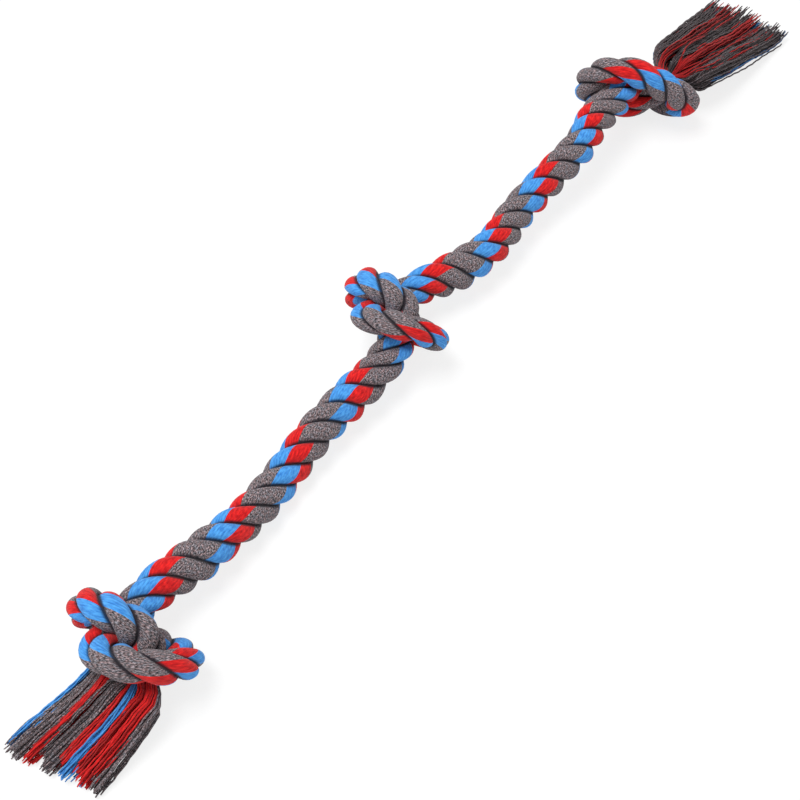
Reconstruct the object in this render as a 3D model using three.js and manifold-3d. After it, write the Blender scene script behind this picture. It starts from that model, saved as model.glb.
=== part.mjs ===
// Rope tug toy for a dog: one length of three-strand cotton rope with three overhand knots and a
// frayed tassel at each end. The toy lies on a flat surface, its long side along X.
// Each strand is its own solid, split where a person would point: at a knot, a span or a tassel.
import * as THREE from "three";
import { mergeVertices } from "three/addons/utils/BufferGeometryUtils.js";
import Module from "manifold-3d";

const wasm = await Module();
wasm.setup();

// Rope, in millimetres. The lay is right-handed.
const ropeDiameter = 22;
const layLength = 47;
const strandGap = 0.4;
const jointGap = 0.3;
const strandCount = 3;
const layStart = THREE.MathUtils.degToRad(20);

// A strand's crest, from one groove to the next: angle in degrees, radius as a share of the rope's.
const crestShares = [[-56, 0.72], [-36, 0.91], [-12, 0.99], [12, 0.99], [36, 0.91], [56, 0.72]];
const ringsPerLay = 10;

// Where the toy lies, in plan: the middle of each tassel's tips and of each knot, and the places
// that the rope's line passes between two knots.
const lowerTipPlace = [-346, 3];
const lowerKnotPlace = [-277, 6];
const lowerSpanStart = [-230, 8.5];
const lowerSpanBend = [-191, 17.5];
const lowerSpanMiddle = [-130, 23];
const lowerSpanEnd = [-90, 30];
const middleKnotPlace = [-40, 31];
const upperSpanStart = [15, 23];
const upperSpanMiddle = [78, 31];
const upperSpanEnd = [150, 25];
const upperKnotPlace = [204, 22];
const upperTipPlace = [352, 14];

// The route of an overhand knot before it is pulled tight, in rope diameters.
const knotRouteShares = [
  [-5.4, 0.0, 0.0], [-3.4, 0.0, 0.0], [-1.8, -0.3, 0.5], [0.0, -0.9, -0.5],
  [1.8, -1.0, -0.2], [2.7, 0.2, 0.5], [1.6, 1.5, 0.0], [-0.4, 1.7, 0.0],
  [-1.9, 0.9, -0.3], [-1.9, -0.3, -0.6], [-1.2, -1.5, 0.0], [0.0, -0.9, 0.6],
  [1.2, 0.0, 0.0], [2.7, 0.2, -0.6], [3.6, 0.0, 0.0], [5.4, 0.0, 0.0],
];
const knotPoints = 140;
const curveTensionShare = 0.5;
const tighteningRounds = 1500;
const pushesPerRound = 3;
const pushShare = 0.8;
const pullShare = 0.25;

// Shape of a tight knot. The shares are of the rope's diameter.
const knotSlimShare = 0.8;
const slimReachShare = 4.4;
const slimFadeShare = 1.6;
const leastBendShare = 0.6;
const passGap = 0.8;
const knotEndShare = 5.2;
const spanExitShare = 2.0;
const cutShare = 0.1;

// Each knot is rolled about the rope and turned about a slanted line of its own, and settles there
// for some rounds. It swells, is pressed flatter along a line that slants the other way and is
// spread along the one square to both. Angles in degrees.
const pressHeading = 39.5;
const pressRise = 32;
const settlingRounds = 150;
const shapeCoreShare = 1.5;
const shapeEndShare = 3.3;
const knots = [
  {
    name: "lower_knot", place: lowerKnotPlace, roll: 266, turn: 44, turnHeading: 250.8, turnRise: 67,
    swellShare: 1.0, pressShare: 0.88, spreadShare: 1.12,
  },
  {
    name: "middle_knot", place: middleKnotPlace, roll: 270, turn: 42, turnHeading: 219.4, turnRise: 54.5,
    swellShare: 1.0, pressShare: 0.83, spreadShare: 1.11,
  },
  {
    name: "upper_knot", place: upperKnotPlace, roll: 136, turn: -5, turnHeading: 204.6, turnRise: 42.2,
    swellShare: 1.08, pressShare: 0.84, spreadShare: 1.11,
  },
];
const spanNames = ["lower_span", "upper_span"];

// The rope keeps a knot's height for a way on either side of it and sags a little between knots.
const levelShare = 1.6;
const spanSag = 5;
const restGap = 0.15;

// Tassels. Past its end knots the rope is cut where one strand lies under the other two. There
// the strands open out side by side, to a shoulder, and flatten to the tips. A strand's three
// locks of yarn lie side by side too: each takes a share of its width at the top and the bottom.
const rootShare = 0.72;
const spreadBy = 12;
const flattenFrom = 4;
const flattenBy = 18;
const thinEdgeShare = 0.6;
const lockGap = 0.6;
const lockStep = 6;
const lockCoreShare = 0.25;
const lockCrownShare = 0.2;
const lockTipShare = 0.85;
const heartShare = 0.6;
const raggedWaves = 3;
const handleShare = 0.25;
const lowerTassel = {
  name: "lower_tassel", side: -1, exitShare: 0.0, tip: lowerTipPlace, raggedness: 4, slant: 10,
  shoulderWidth: 36, shoulderThickness: 14, tipWidth: 55, tipThickness: 7,
  strandShares: [
    [["blue_yarn", 0.2, 0.28], ["grey_yarn", 0.36, 0.42], ["red_yarn", 0.44, 0.3]],
    [["grey_yarn", 0.62, 0.38], ["red_yarn", 0.14, 0.36], ["blue_yarn", 0.24, 0.26]],
    [["red_yarn", 0.58, 0.3], ["blue_yarn", 0.1, 0.42], ["grey_yarn", 0.32, 0.28]],
  ],
};
const upperTassel = {
  name: "upper_tassel", side: 1, exitShare: 0.6, tip: upperTipPlace, raggedness: 6, slant: -2,
  shoulderWidth: 41, shoulderThickness: 16, tipWidth: 52, tipThickness: 8,
  strandShares: [
    [["blue_yarn", 0.14, 0.36], ["grey_yarn", 0.34, 0.36], ["red_yarn", 0.52, 0.28]],
    [["grey_yarn", 0.44, 0.38], ["red_yarn", 0.42, 0.38], ["blue_yarn", 0.14, 0.24]],
    [["red_yarn", 0.3, 0.28], ["blue_yarn", 0.14, 0.3], ["grey_yarn", 0.56, 0.42]],
  ],
};

const yarnColours = { blue_yarn: 0x4b9be6, red_yarn: 0xd72323, grey_yarn: 0x6f6a6a };
const strandColours = [0x4b9be6, 0xd72323, 0x7a7474];
const clothRoughness = 0.95;

const ropeRadius = ropeDiameter / 2;
const ringStep = layLength / ringsPerLay;
const sector = (2 * Math.PI) / strandCount;
const xAxis = new THREE.Vector3(1, 0, 0);
const zAxis = new THREE.Vector3(0, 0, 1);
const toy = new THREE.Group();

function easeBetween(near, far, at) {
  const t = THREE.MathUtils.clamp((at - near) / (far - near), 0, 1);
  return t * t * (3 - 2 * t);
}

// Lengths along a list of points, from its first.
function lengthsAlong(points) {
  const lengths = [0];
  for (let i = 1; i < points.length; i++) {
    lengths.push(lengths[i - 1] + points[i].distanceTo(points[i - 1]));
  }
  return lengths;
}

function spaceEvenly(points, count) {
  const lengths = lengthsAlong(points);
  const total = lengths[lengths.length - 1];
  const spaced = [];
  let j = 0;
  for (let i = 0; i < count; i++) {
    const at = (total * i) / (count - 1);
    while (j < points.length - 2 && lengths[j + 1] < at) j++;
    const t = (at - lengths[j]) / (lengths[j + 1] - lengths[j]);
    spaced.push(points[j].clone().lerp(points[j + 1], t));
  }
  return spaced;
}

// Draws each point toward the middle of its two neighbours.
function relax(points, share) {
  return points.map((p, i) => {
    if (i === 0 || i === points.length - 1) return p;
    const midway = points[i - 1].clone().add(points[i + 1]).multiplyScalar(0.5);
    return p.clone().lerp(midway, share);
  });
}

// The rope's thickness in a knot, as a share of its free diameter, at a length off its middle.
function slimAt(off) {
  const fade = easeBetween(slimReachShare, slimReachShare + slimFadeShare, Math.abs(off));
  return knotSlimShare + (1 - knotSlimShare) * fade;
}

// The least distance that two points of the rope keep: round a bend they lie on a circle of the
// least radius, and from half a turn on they are one rope and a clearance apart.
function leastDistance(apart, width, clearance) {
  const bend = leastBendShare * width;
  if (apart > Math.PI * bend) return width + clearance;
  return Math.min(width, 2 * bend * Math.sin(apart / (2 * bend)));
}

// Moves the points of a route that are too close to each other apart.
function keepApart(route, lengths, widths, clearance) {
  const moves = route.map(() => new THREE.Vector3());
  const touches = route.map(() => 0);
  const between = new THREE.Vector3();
  for (let i = 0; i < knotPoints; i++) {
    for (let j = i + 2; j < knotPoints; j++) {
      const width = (widths[i] + widths[j]) / 2;
      between.subVectors(route[j], route[i]);
      const distance = between.length();
      if (distance > width + clearance) continue;
      const least = leastDistance(lengths[j] - lengths[i], width, clearance);
      if (distance >= least) continue;
      between.multiplyScalar((least - distance) / distance);
      moves[i].sub(between);
      moves[j].add(between);
      touches[i]++;
      touches[j]++;
    }
  }
  for (let i = 1; i < knotPoints - 1; i++) {
    if (touches[i]) route[i].addScaledVector(moves[i], pushShare / touches[i]);
  }
}

const mostPressShare = Math.min(...knots.map((knot) => knot.pressShare));

// Pulls a route tight: it shortens a little, then points that are too close move apart.
function tighten(loose, rounds) {
  const clearance = passGap / (ropeDiameter * mostPressShare);
  let route = loose;
  for (let round = 0; round < rounds; round++) {
    route = spaceEvenly(relax(route, pullShare), knotPoints);
    const lengths = lengthsAlong(route);
    const widths = lengths.map((at) => slimAt(at - lengths[knotPoints - 1] / 2));
    for (let push = 0; push < pushesPerRound; push++) {
      keepApart(route, lengths, widths, clearance);
    }
  }
  return route;
}

// The least gap between two passes of the rope in a knot, once it is pressed.
function leastGapIn(route, knot) {
  const lengths = lengthsAlong(route);
  const widths = lengths.map((at) => slimAt(at - lengths[knotPoints - 1] / 2));
  let least = Infinity;
  for (let i = 0; i < knotPoints; i++) {
    for (let j = i + 1; j < knotPoints; j++) {
      const width = (widths[i] + widths[j]) / 2;
      if (lengths[j] - lengths[i] < Math.PI * leastBendShare * width) continue;
      least = Math.min(least, route[i].distanceTo(route[j]) - width);
    }
  }
  return least * ropeDiameter * knot.pressShare;
}

const knotSeed = new THREE.CatmullRomCurve3(
  knotRouteShares.map((p) => new THREE.Vector3(...p)), false, "catmullrom", curveTensionShare,
);
const tightRoute = tighten(knotSeed.getSpacedPoints(knotPoints - 1), tighteningRounds);

// The line down the middle of the toy in plan, and the length along it at each place.
const axisPlaces = [
  lowerTipPlace, lowerKnotPlace, lowerSpanStart, lowerSpanBend, lowerSpanMiddle, lowerSpanEnd,
  middleKnotPlace, upperSpanStart, upperSpanMiddle, upperSpanEnd, upperKnotPlace, upperTipPlace,
];
const axisCurve = new THREE.CatmullRomCurve3(
  axisPlaces.map((p) => new THREE.Vector3(p[0], p[1], 0)), false, "catmullrom", curveTensionShare,
);
const stepsPerPlace = 60;
const axisSamples = axisCurve.getPoints(stepsPerPlace * (axisPlaces.length - 1));
const axisLengths = lengthsAlong(axisSamples);
for (const knot of knots) knot.at = axisLengths[stepsPerPlace * axisPlaces.indexOf(knot.place)];

function axisAt(length) {
  const last = axisSamples.length - 2;
  let j = 0;
  while (j < last && axisLengths[j + 1] < length) j++;
  const t = (length - axisLengths[j]) / (axisLengths[j + 1] - axisLengths[j]);
  const direction = axisSamples[j + 1].clone().sub(axisSamples[j]).normalize();
  return { point: axisSamples[j].clone().lerp(axisSamples[j + 1], t), direction };
}

// Slanted lines for the turn, the press and the spread, all square to one another.
function slanted(headingDegrees, riseDegrees) {
  const heading = THREE.MathUtils.degToRad(headingDegrees);
  const rise = THREE.MathUtils.degToRad(riseDegrees);
  return new THREE.Vector3(
    Math.cos(heading) * Math.cos(rise), Math.sin(heading) * Math.cos(rise), Math.sin(rise),
  );
}
for (const knot of knots) {
  knot.turnLine = slanted(knot.turnHeading, knot.turnRise);
  const press = slanted(pressHeading, pressRise);
  knot.pressLine = press.addScaledVector(knot.turnLine, -press.dot(knot.turnLine)).normalize();
  knot.spreadLine = new THREE.Vector3().crossVectors(knot.turnLine, knot.pressLine);
}

// How strongly a knot's own shape holds at a place off its middle, in rope diameters.
const holdAt = (local) => 1 - easeBetween(shapeCoreShare, shapeEndShare, local.length());

// A knot's route once it is rolled and turned, with the rope beside it pulled straight again.
function settleKnot(knot) {
  const turned = tightRoute.map((p) => {
    const rolled = p.clone().applyAxisAngle(xAxis, THREE.MathUtils.degToRad(knot.roll));
    return rolled.applyAxisAngle(knot.turnLine, THREE.MathUtils.degToRad(knot.turn) * holdAt(p));
  });
  return tighten(turned, settlingRounds);
}

// Moves a point of the rope to its place in the finished knot: swollen, pressed and spread.
function shapeKnot(point, knot) {
  const local = point.clone().setX(point.x - knot.at);
  const hold = holdAt(local.clone().divideScalar(ropeDiameter));
  local.multiplyScalar(1 + (knot.swellShare - 1) * hold);
  const { pressLine, spreadLine } = knot;
  local.addScaledVector(pressLine, (knot.pressShare - 1) * hold * local.dot(pressLine));
  local.addScaledVector(spreadLine, (knot.spreadShare - 1) * hold * local.dot(spreadLine));
  return local.setX(local.x + knot.at);
}

// Height of the rope's middle line at a length along the axis.
function heightAt(length) {
  const next = knots.findIndex((knot) => knot.at > length);
  if (next === 0) return knots[0].height;
  if (next < 0) return knots.at(-1).height;
  const [before, after] = [knots[next - 1], knots[next]];
  const level = levelShare * ropeDiameter;
  const t = easeBetween(before.at + level, after.at - level, length);
  const sag = spanSag * Math.sin(Math.PI * t) ** 2;
  return THREE.MathUtils.lerp(before.height, after.height, t) - sag;
}

// Lays a point of the straight toy along the axis, at the height that the rope has there.
function layDown(point) {
  let placed = point;
  for (const knot of knots) {
    if (Math.abs(point.x - knot.at) < shapeEndShare * ropeDiameter) placed = shapeKnot(point, knot);
  }
  const { point: base, direction } = axisAt(placed.x);
  return new THREE.Vector3(
    base.x - direction.y * placed.y, base.y + direction.x * placed.y,
    placed.z + heightAt(placed.x),
  );
}

// The rope's own line on a straight axis: the knots' routes joined end to end.
let keptReach = knotEndShare * ropeDiameter;
knots.reduce((before, after) => {
  keptReach = Math.min(keptReach, (after.at - before.at) / 2);
  return after;
});
const joinedRoute = [];
for (const knot of knots) {
  const settled = settleKnot(knot);
  knot.leastGap = leastGapIn(settled, knot);
  knot.excess = lengthsAlong(settled).at(-1) - settled.at(-1).distanceTo(settled[0]);
  const placed = settled.map((p) => {
    return p.clone().multiplyScalar(ropeDiameter).add(new THREE.Vector3(knot.at, 0, 0));
  });
  joinedRoute.push(...placed.filter((p) => Math.abs(p.x - knot.at) < keptReach));
  knot.centre = placed[Math.floor(knotPoints / 2)];
}
const finePoints = 3000;
const smoothings = 60;
const smoothingShare = 0.5;
let rope = spaceEvenly(joinedRoute, finePoints);
for (let round = 0; round < smoothings; round++) rope = relax(rope, smoothingShare);
const ropeLengths = lengthsAlong(rope);

// The middle of each knot along the rope.
const knotMiddles = knots.map(({ centre }) => {
  const distances = rope.map((p) => p.distanceTo(centre));
  return ropeLengths[distances.indexOf(Math.min(...distances))];
});

// A frame that follows the rope without twisting about it.
const frames = [];
rope.forEach((p, i) => {
  const after = rope[Math.min(i + 1, rope.length - 1)];
  const before = rope[Math.max(i - 1, 0)];
  const along = after.clone().sub(before).normalize();
  const side = i ? frames[i - 1].side.clone() : new THREE.Vector3(0, 1, 0);
  side.addScaledVector(along, -side.dot(along)).normalize();
  frames.push({ along, side, up: new THREE.Vector3().crossVectors(along, side) });
});

function stationAt(length) {
  let i = 0;
  while (i < rope.length - 2 && ropeLengths[i + 1] < length) i++;
  const t = (length - ropeLengths[i]) / (ropeLengths[i + 1] - ropeLengths[i]);
  const middling = (name) => frames[i][name].clone().lerp(frames[i + 1][name], t).normalize();
  return {
    point: rope[i].clone().lerp(rope[i + 1], t),
    along: middling("along"),
    side: middling("side"),
    up: middling("up"),
  };
}

function radiusAt(length) {
  const shares = knotMiddles.map((middle) => slimAt((length - middle) / ropeDiameter));
  return ropeRadius * Math.min(...shares);
}

function turnAt(length, strand) {
  return layStart + 2 * Math.PI * (length / layLength) + sector * strand;
}

// The length nearest to a given one where a strand lies squarely under the other two.
const cutTries = 60;
function cutNear(length) {
  const reach = layLength / strandCount / 2;
  let lowest = Infinity;
  let cut = length;
  for (let i = -cutTries; i <= cutTries; i++) {
    const at = length + (reach * i) / cutTries;
    const { side, up } = stationAt(at);
    for (let strand = 0; strand < strandCount; strand++) {
      const turn = turnAt(at, strand);
      const height = side.z * Math.cos(turn) + up.z * Math.sin(turn);
      if (height < lowest) [lowest, cut] = [height, at];
    }
  }
  return cut;
}

// Where each stretch of the rope starts and ends.
const stretches = [];
knots.forEach((knot, i) => {
  const toSpan = (spanExitShare + knot.excess / 2) * ropeDiameter;
  const toTassel = (tassel) => (tassel.exitShare + knot.excess / 2) * ropeDiameter;
  const from = i > 0 ? knotMiddles[i] - toSpan : cutNear(knotMiddles[i] - toTassel(lowerTassel));
  const last = i === knots.length - 1;
  const to = last ? cutNear(knotMiddles[i] + toTassel(upperTassel)) : knotMiddles[i] + toSpan;
  if (i > 0) stretches.push({ name: spanNames[i - 1], from: stretches.at(-1).to, to: from });
  stretches.push({ name: knot.name, from, to, knot });
});
const ropeStart = stretches[0].from;
const ropeEnd = stretches.at(-1).to;

// Height of each knot's middle, so that its underside is cut a tenth of the rope's diameter deep.
const underAngles = [-0.5, 0, 0.5];
for (const { knot, from, to } of stretches.filter((stretch) => stretch.knot)) {
  let lowest = 0;
  for (let at = from; at < to; at += ringStep / 2) {
    const { point, along } = stationAt(at);
    for (const angle of underAngles) {
      const down = new THREE.Vector3(0, Math.sin(angle), -Math.cos(angle));
      down.addScaledVector(along, -down.dot(along)).normalize();
      const under = point.clone().addScaledVector(down, radiusAt(at));
      lowest = Math.min(lowest, shapeKnot(under, knot).z);
    }
  }
  knot.height = -lowest - cutShare * ropeDiameter;
}

// A closed solid through rings of points, each ring counter-clockwise about the way along. In the
// turned columns the diagonals run the other way, so that neighbours with a shared flank stay apart.
function solidThroughRings(rings, turnedColumns) {
  const around = rings[0].length;
  const positions = rings.flat().flatMap((p) => [p.x, p.y, p.z]);
  const faces = [];
  for (let i = 0; i + 1 < rings.length; i++) {
    for (let a = 0; a < around; a++) {
      const b = (a + 1) % around;
      const [nearA, nearB] = [i * around + a, i * around + b];
      const [farA, farB] = [nearA + around, nearB + around];
      if (turnedColumns.includes(a)) faces.push(nearA, nearB, farA, nearB, farB, farA);
      else faces.push(nearA, nearB, farB, nearA, farB, farA);
    }
  }
  const end = (rings.length - 1) * around;
  for (let a = 1; a + 1 < around; a++) {
    faces.push(0, a + 1, a, end, end + a, end + a + 1);
  }
  const geometry = new THREE.BufferGeometry();
  geometry.setAttribute("position", new THREE.Float32BufferAttribute(positions, 3));
  geometry.setIndex(faces);
  return geometry;
}

// A strand's section at one length: its inner edge, then its crest from groove to groove.
function strandSection(length, strand) {
  const { point: middle, side, up } = stationAt(length);
  const radius = radiusAt(length);
  const turn = turnAt(length, strand);
  const inner = strandGap / 2 / Math.sin(sector / 2);
  const outline = crestShares.map(([degrees, share], i) => {
    const out = radius * share;
    const flank = sector / 2 - Math.asin(strandGap / 2 / out);
    if (i === 0) return [-flank, out];
    if (i === crestShares.length - 1) return [flank, out];
    return [THREE.MathUtils.degToRad(degrees), out];
  });
  return [[0, inner], ...outline].map(([angle, out]) => {
    const point = middle.clone();
    point.addScaledVector(side, out * Math.cos(turn + angle));
    point.addScaledVector(up, out * Math.sin(turn + angle));
    return layDown(point);
  });
}

function toSolid(geometry) {
  const merged = mergeVertices(geometry);
  return new wasm.Manifold(new wasm.Mesh({
    numProp: 3,
    vertProperties: merged.attributes.position.array,
    triVerts: new Uint32Array(merged.index.array),
  }));
}

function toGeometry(solid) {
  const mesh = solid.getMesh();
  const geometry = new THREE.BufferGeometry();
  geometry.setAttribute("position", new THREE.BufferAttribute(mesh.vertProperties, 3));
  geometry.setIndex(new THREE.BufferAttribute(mesh.triVerts, 1));
  return geometry;
}

// Cuts off what would reach below the surface that the toy lies on.
const groundSize = 4 * axisLengths.at(-1);
const ground = toSolid(
  new THREE.BoxGeometry(groundSize, groundSize, ropeDiameter)
    .translate(0, 0, -ropeRadius).deleteAttribute("normal").deleteAttribute("uv"),
);
const cutFlat = (geometry) => toGeometry(toSolid(geometry).subtract(ground));

function addPiece(name, geometry, colour) {
  const material = new THREE.MeshStandardMaterial({ color: colour, roughness: clothRoughness });
  const mesh = new THREE.Mesh(geometry, material);
  mesh.name = name;
  toy.add(mesh);
}

// The strands, one solid for each stretch.
const turnedStrandColumns = [crestShares.length];
for (const stretch of stretches) {
  const from = stretch.from + (stretch.from > ropeStart ? jointGap / 2 : 0);
  const to = stretch.to - (stretch.to < ropeEnd ? jointGap / 2 : 0);
  const steps = Math.ceil((to - from) / ringStep);
  for (let strand = 0; strand < strandCount; strand++) {
    const rings = [];
    for (let i = 0; i <= steps; i++) {
      rings.push(strandSection(from + ((to - from) * i) / steps, strand));
    }
    const geometry = solidThroughRings(rings, turnedStrandColumns);
    const solid = stretch.knot ? cutFlat(geometry) : geometry;
    addPiece(`${stretch.name}_strand_${strand + 1}`, solid, strandColours[strand]);
  }
}

// Where a tassel leaves the rope: points across its end face, by the angle about the rope's line
// and the share of the way out from it.
function tasselRoot(tassel) {
  const length = tassel.side < 0 ? ropeStart : ropeEnd;
  const { point, along, side, up } = stationAt(length);
  const centre = point.addScaledVector(along, tassel.side * jointGap);
  const radius = rootShare * radiusAt(length);
  const faceAt = (angle, share) => layDown(
    centre.clone().addScaledVector(side, radius * share * Math.cos(angle))
      .addScaledVector(up, radius * share * Math.sin(angle)),
  );
  const ahead = layDown(centre.clone().addScaledVector(along, tassel.side * jointGap));
  return { length, radius, faceAt, ahead: ahead.sub(faceAt(0, 0)).normalize() };
}

// A tassel's middle line, from the rope's end down to the surface at the tips.
function tasselLine(tassel, root) {
  const start = root.faceAt(0, 0);
  const tip = new THREE.Vector3(...tassel.tip, tassel.tipThickness / 2 + restGap);
  const reach = start.distanceTo(tip) * handleShare;
  const flatAway = tip.clone().sub(start).setZ(0).normalize();
  return new THREE.CubicBezierCurve3(
    start, start.clone().addScaledVector(root.ahead, reach),
    tip.clone().addScaledVector(flatAway, -reach), tip,
  );
}

// A tassel's sections at every step along it: its middle, its half width across the toy and its
// half thickness over that.
function tasselSections(tassel, line) {
  const full = line.getLength();
  const sections = [];
  const longest = full + Math.abs(tassel.slant) + tassel.raggedness;
  for (let out = 0; out < longest + 2 * lockStep; out += lockStep) {
    const at = Math.min(out / full, 1);
    const forward = line.getTangentAt(at);
    const across = new THREE.Vector3().crossVectors(zAxis, forward).normalize();
    const over = new THREE.Vector3().crossVectors(forward, across);
    const wide = THREE.MathUtils.lerp(tassel.shoulderWidth, tassel.tipWidth, at) / 2;
    const thick = THREE.MathUtils.lerp(tassel.shoulderThickness, tassel.tipThickness, at) / 2;
    const middle = line.getPointAt(at).addScaledVector(forward, Math.max(0, out - full));
    middle.setZ(Math.max(middle.z, thick + restGap));
    sections.push({ middle, across: across.multiplyScalar(tassel.side), over, wide, thick });
  }
  return sections;
}

// How a strand lies in its tassel: its place from 1, on the +Y side, to -1, and the directions
// across it and over it at the rope's end. The one below the others comes up between them, and so
// lies upside down.
function strandsInTassel(root) {
  const strands = [];
  const towards = (turn) => root.faceAt(turn, 1).sub(root.faceAt(0, 0)).normalize();
  for (let strand = 0; strand < strandCount; strand++) {
    const turn = turnAt(root.length, strand);
    strands.push({ strand, turn, across: towards(turn - Math.PI / 2), over: towards(turn) });
  }
  strands.sort((a, b) => a.over.z - b.over.z);
  const [under, ...upright] = strands;
  upright.sort((a, b) => b.over.y - a.over.y);
  const [first, last] = upright;
  under.across.negate();
  under.over.negate();
  return [
    { ...first, place: 1, way: 1 }, { ...under, place: 0, way: -1 }, { ...last, place: -1, way: 1 },
  ];
}

const turnedLockColumns = [0, 1];

// One lock of yarn, from its strand's end face to a ragged tip. Its borders are shares of the
// strand's width, counted from the +Y side, at the bottom and the top.
function addLock(tassel, root, sections, full, strand, yarn, borders) {
  const { place, way, turn } = strand;
  const { bottomFrom, bottomTo, topFrom, topTo } = borders;
  const corners = [
    [bottomFrom, 0], [(topFrom + bottomFrom) / 2, 0.5], [topFrom, 1],
    [(topFrom + topTo) / 2, 1 + lockCrownShare],
    [topTo, 1], [(topTo + bottomTo) / 2, 0.5], [bottomTo, 0],
  ];
  const strandPlace = (2 * place) / strandCount;
  const heart = root.faceAt(turn, heartShare).sub(root.faceAt(0, 0));
  const wedgeAt = (share, level) => {
    const out = THREE.MathUtils.clamp(way > 0 ? level : 1 - level, 0, 1);
    const reach = root.radius * THREE.MathUtils.lerp(lockCoreShare, 1, out);
    const angle = (0.5 - share) * sector;
    return [reach * Math.sin(angle), way * (reach * Math.cos(angle) - root.radius * heartShare)];
  };
  const flatAt = (share, level, { wide, thick }) => {
    const lateral = (1 - 2 * share) / strandCount;
    const thinned = thick * Math.sqrt(1 - thinEdgeShare * (strandPlace + lateral) ** 2);
    return [lateral * wide, (2 * level - 1) * thinned];
  };
  const pointAt = (near, share, level) => {
    const section = sections[near];
    const spread = easeBetween(0, spreadBy, near * lockStep);
    const flatten = easeBetween(flattenFrom, flattenBy, near * lockStep);
    const across = strand.across.clone().lerp(section.across, flatten).normalize();
    const over = strand.over.clone().lerp(section.over, flatten).normalize();
    const [wedgeAcross, wedgeOver] = wedgeAt(share, level);
    const [flatAcross, flatOver] = flatAt(share, level, section);
    return section.middle.clone().addScaledVector(heart, 1 - spread)
      .addScaledVector(section.across, section.wide * strandPlace * spread)
      .addScaledVector(across, THREE.MathUtils.lerp(wedgeAcross, flatAcross, flatten))
      .addScaledVector(over, THREE.MathUtils.lerp(wedgeOver, flatOver, flatten));
  };
  const order = strandPlace + (1 - topFrom - topTo) / strandCount;
  const wave = Math.sin(2 * Math.PI * raggedWaves * order);
  const own = full + tassel.slant * order + tassel.raggedness * wave;
  const outs = [];
  for (let out = 0; out < own; out += lockStep) outs.push(out);
  outs.push(own);
  const rings = outs.map((out) => {
    const near = Math.floor(out / lockStep);
    const ring = corners.map(([share, level]) => {
      const p = pointAt(near, share, level);
      return p.lerp(pointAt(near + 1, share, level), out / lockStep - near);
    });
    const heartOfLock = new THREE.Vector3();
    ring.forEach((c) => heartOfLock.addScaledVector(c, 1 / ring.length));
    const width = ring[1].distanceTo(ring[5]);
    const shrink = THREE.MathUtils.lerp(1, lockTipShare, out / own) * (1 - lockGap / width);
    const shrunk = ring.map((c) => c.sub(heartOfLock).multiplyScalar(shrink).add(heartOfLock));
    return tassel.side < 0 ? shrunk.reverse() : shrunk;
  });
  const name = `${tassel.name}_strand_${strand.strand + 1}_${yarn}`;
  addPiece(name, solidThroughRings(rings, turnedLockColumns), yarnColours[yarn]);
}

for (const tassel of [lowerTassel, upperTassel]) {
  const root = tasselRoot(tassel);
  const line = tasselLine(tassel, root);
  const sections = tasselSections(tassel, line);
  strandsInTassel(root).forEach((strand, i) => {
    let [bottomFrom, topFrom] = [0, 0];
    for (const [yarn, topShare, bottomShare] of tassel.strandShares[i]) {
      const borders = {
        bottomFrom, topFrom, bottomTo: bottomFrom + bottomShare, topTo: topFrom + topShare,
      };
      addLock(tassel, root, sections, line.getLength(), strand, yarn, borders);
      [bottomFrom, topFrom] = [borders.bottomTo, borders.topTo];
    }
  });
}

// The toy's footprint is centred on the origin.
const middle = new THREE.Box3().setFromObject(toy, true).getCenter(new THREE.Vector3());
toy.position.set(-middle.x, -middle.y, 0);

for (const knot of knots) {
  const taken = knot.excess * ropeDiameter;
  console.log(`${knot.name}: least gap ${knot.leastGap.toFixed(2)} mm, takes ${taken.toFixed(0)} mm`);
}
console.log(`rope between the tassels ${(ropeEnd - ropeStart).toFixed(0)} mm`);
console.log(`footprint moved by ${middle.x.toFixed(2)}, ${middle.y.toFixed(2)} mm`);

export default toy;
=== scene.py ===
import math

import bpy
import numpy as np
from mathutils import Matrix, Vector


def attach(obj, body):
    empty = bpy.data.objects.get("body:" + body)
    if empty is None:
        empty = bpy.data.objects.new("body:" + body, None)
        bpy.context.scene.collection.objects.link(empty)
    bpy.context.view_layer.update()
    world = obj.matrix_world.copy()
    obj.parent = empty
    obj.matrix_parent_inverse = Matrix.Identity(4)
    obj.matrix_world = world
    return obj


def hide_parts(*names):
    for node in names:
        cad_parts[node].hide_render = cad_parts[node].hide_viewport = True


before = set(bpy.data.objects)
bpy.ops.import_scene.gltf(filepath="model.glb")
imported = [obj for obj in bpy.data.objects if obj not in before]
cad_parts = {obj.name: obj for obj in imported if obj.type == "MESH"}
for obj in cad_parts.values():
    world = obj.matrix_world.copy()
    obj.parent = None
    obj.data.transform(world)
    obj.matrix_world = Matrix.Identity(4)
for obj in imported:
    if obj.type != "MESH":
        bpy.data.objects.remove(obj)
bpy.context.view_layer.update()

# The view and the light.
# The toy lies on a white sheet and is seen from above its short tassel, 58 degrees down. One
# broad soft lamp stands up and to the left of the view, and the room fills in the rest.

# The middle of the toy's footprint, in the plan that its places below are given in.
footprint_middle = np.array([0.00096, 0.02303, 0.0])

view_heading = math.radians(39.53)
view_drop = math.radians(58)
camera_place = Vector((-0.35506, -0.22759, 0.58967))
sensor_width = 36
lens_length = 52.94
near_limit = 0.01
sheet_half = 3
sheet_drop = 0.0002
sheet_shade = 0.93
sheet_glow = 0.8
room_light = 0.55
lamp_place = Vector((-0.42, 0.42, 1.9))
lamp_power = 36
lamp_size = 0.9

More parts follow.
